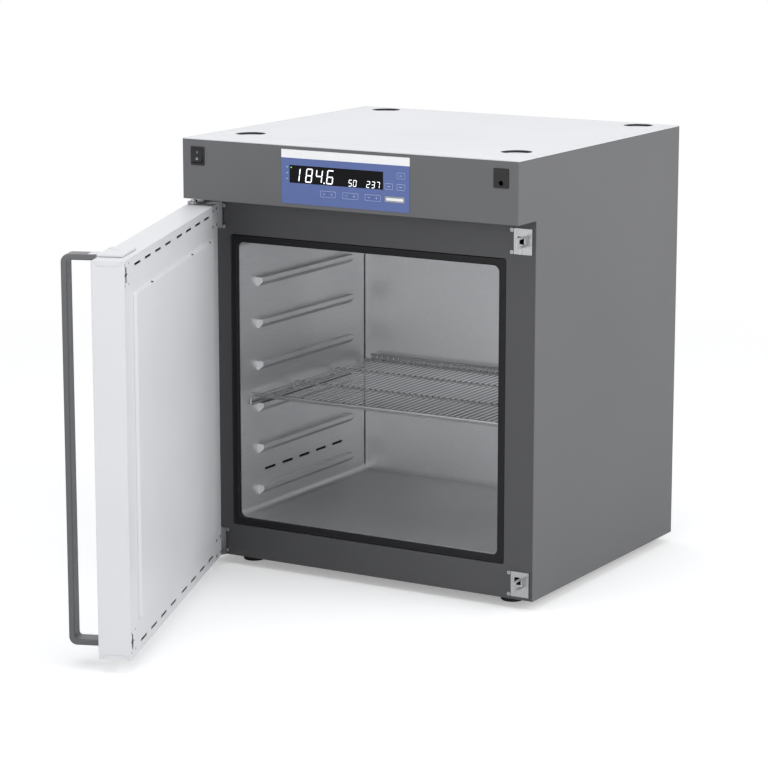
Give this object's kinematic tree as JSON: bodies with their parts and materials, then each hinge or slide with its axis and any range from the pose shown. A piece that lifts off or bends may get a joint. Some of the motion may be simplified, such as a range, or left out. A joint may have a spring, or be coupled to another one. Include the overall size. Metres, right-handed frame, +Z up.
{
  "type": "laboratory oven",
  "caption": "Bench laboratory oven with a swung-open insulated door, latching bar handle, ribbed steel chamber, wire shelf and a control head that reaches forward over the door.",
  "frame": {"origin": "on the bench under the middle of the whole part's box, with the door as it stands at rest", "axes": "+X to the oven's right as the user faces it, +Y from the front into the chamber, +Z up"},
  "size_m": [0.7032, 1.3078, 0.818],
  "materials": {
    "graphite_paint": "fine satin powder coat",
    "pale_paint": "smooth satin powder coat",
    "frame_paint": "satin powder coat",
    "stainless": "brushed",
    "shelf_wire": "electropolished",
    "zinc": "zinc plated",
    "dark_steel": "dark zinc plated",
    "seal_rubber": "matt silicone",
    "foot_rubber": "matt",
    "mineral_wool": "fibrous",
    "blue_foil": "satin printed foil",
    "white_foil": "satin printed foil",
    "key_blue": "satin",
    "display_glass": "clear over black",
    "silver_plate": "satin",
    "black_plastic": "fine grain",
    "board_green": "solder mask",
    "bush_plastic": "self-lubricating"
  },
  "bodies": {
    "cabinet": {"base_pan": "graphite_paint", "feet": "foot_rubber", "foot_screws": "zinc", "side_panel_right": "graphite_paint", "side_panel_left": "graphite_paint", "rear_panel": "graphite_paint", "top_cover": "pale_paint", "stack_rings": "foot_rubber", "head_lid": "pale_paint", "front_frame": "frame_paint", "chamber_liner": "stainless", "door_seal": "seal_rubber", "chamber_insulation": "mineral_wool", "partition_plate": "zinc", "floor_heater": "stainless", "vent_tube": "stainless", "temperature_probe": "stainless", "mains_gland": "black_plastic", "control_board": "board_green", "transformer": "zinc", "strike_upper": "stainless", "strike_lower": "stainless", "hinge_bracket_upper": "dark_steel", "hinge_bracket_lower": "dark_steel", "hinge_pins": "zinc", "bracket_screws": "zinc", "control_head": "graphite_paint", "panel_foil": "blue_foil", "panel_strip": "white_foil", "blank_plate": "silver_plate", "display_window": "display_glass", "display_board": "board_green", "switch_bezel": "black_plastic", "service_port": "black_plastic"},
    "door": {"door_shell": "pale_paint", "door_inner_sheet": "pale_paint", "door_inner_panel": "pale_paint", "door_insulation": "mineral_wool", "block_screws": "zinc", "hinge_blocks": "zinc", "hinge_bushes": "bush_plastic", "latch_cases": "zinc", "shaft_bushes": "bush_plastic"},
    "handle": {"handle_bar": "graphite_paint", "handle_plate_upper": "pale_paint", "handle_plate_lower": "zinc", "latch_shafts": "zinc"},
    "upper_bolt": {"latch_bolt_upper": "zinc"},
    "lower_bolt": {"latch_bolt_lower": "zinc"},
    "shelf": {"wire_shelf": "shelf_wire"},
    "rocker": {"switch_rocker": "black_plastic"},
    "left_minus_key": {"left_minus_key": "key_blue"},
    "left_plus_key": {"left_plus_key": "key_blue"},
    "middle_minus_key": {"middle_minus_key": "key_blue"},
    "middle_plus_key": {"middle_plus_key": "key_blue"},
    "right_minus_key": {"right_minus_key": "key_blue"},
    "right_plus_key": {"right_plus_key": "key_blue"},
    "upper_menu_key": {"upper_menu_key": "key_blue"},
    "lower_menu_key": {"lower_menu_key": "key_blue"},
    "side_menu_key": {"side_menu_key": "key_blue"}
  },
  "joints": [
    {"name": "door_swing", "type": "hinge", "parent": "cabinet", "child": "door", "pos_m": [-0.33639, -0.01264, 0.3585], "axis": [0, 0, -1], "range_deg": [-68.6, 41.4]},
    {"name": "handle_turn", "type": "hinge", "parent": "door", "child": "handle", "pos_m": [-0.10526, -0.56542, 0.3585], "axis": [0, 0, -1], "range_deg": [0, 20], "stiffness_Nm_per_rad": 2},
    {"name": "upper_bolt_slide", "type": "slide", "parent": "door", "child": "upper_bolt", "axis": [-0.3649, 0.9311, 0], "range_m": [0, 0.00621]},
    {"name": "lower_bolt_slide", "type": "slide", "parent": "door", "child": "lower_bolt", "axis": [-0.3649, 0.9311, 0], "range_m": [0, 0.00621]},
    {"name": "shelf_slide", "type": "slide", "parent": "cabinet", "child": "shelf", "axis": [0, -1, 0], "range_m": [0, 0.1]},
    {"name": "mains_rocker", "type": "hinge", "parent": "cabinet", "child": "rocker", "pos_m": [-0.31439, -0.02764, 0.7864], "axis": [1, 0, 0], "range_deg": [0, 12]},
    {"name": "left_minus_key_press", "type": "slide", "parent": "cabinet", "child": "left_minus_key", "axis": [0, 1, 0], "range_m": [0, 0.0005], "stiffness_N_per_m": 600},
    {"name": "left_plus_key_press", "type": "slide", "parent": "cabinet", "child": "left_plus_key", "axis": [0, 1, 0], "range_m": [0, 0.0005], "stiffness_N_per_m": 600},
    {"name": "middle_minus_key_press", "type": "slide", "parent": "cabinet", "child": "middle_minus_key", "axis": [0, 1, 0], "range_m": [0, 0.0005], "stiffness_N_per_m": 600},
    {"name": "middle_plus_key_press", "type": "slide", "parent": "cabinet", "child": "middle_plus_key", "axis": [0, 1, 0], "range_m": [0, 0.0005], "stiffness_N_per_m": 600},
    {"name": "right_minus_key_press", "type": "slide", "parent": "cabinet", "child": "right_minus_key", "axis": [0, 1, 0], "range_m": [0, 0.0005], "stiffness_N_per_m": 600},
    {"name": "right_plus_key_press", "type": "slide", "parent": "cabinet", "child": "right_plus_key", "axis": [0, 1, 0], "range_m": [0, 0.0005], "stiffness_N_per_m": 600},
    {"name": "upper_menu_key_press", "type": "slide", "parent": "cabinet", "child": "upper_menu_key", "axis": [0, 1, 0], "range_m": [0, 0.0005], "stiffness_N_per_m": 600},
    {"name": "lower_menu_key_press", "type": "slide", "parent": "cabinet", "child": "lower_menu_key", "axis": [0, 1, 0], "range_m": [0, 0.0005], "stiffness_N_per_m": 600},
    {"name": "side_menu_key_press", "type": "slide", "parent": "cabinet", "child": "side_menu_key", "axis": [0, 1, 0], "range_m": [0, 0.0005], "stiffness_N_per_m": 600}
  ],
  "couplings": [
    {"joint": "upper_bolt_slide", "follows": "handle_turn", "m_per_rad": 0.017637},
    {"joint": "lower_bolt_slide", "follows": "handle_turn", "m_per_rad": 0.017637}
  ]
}
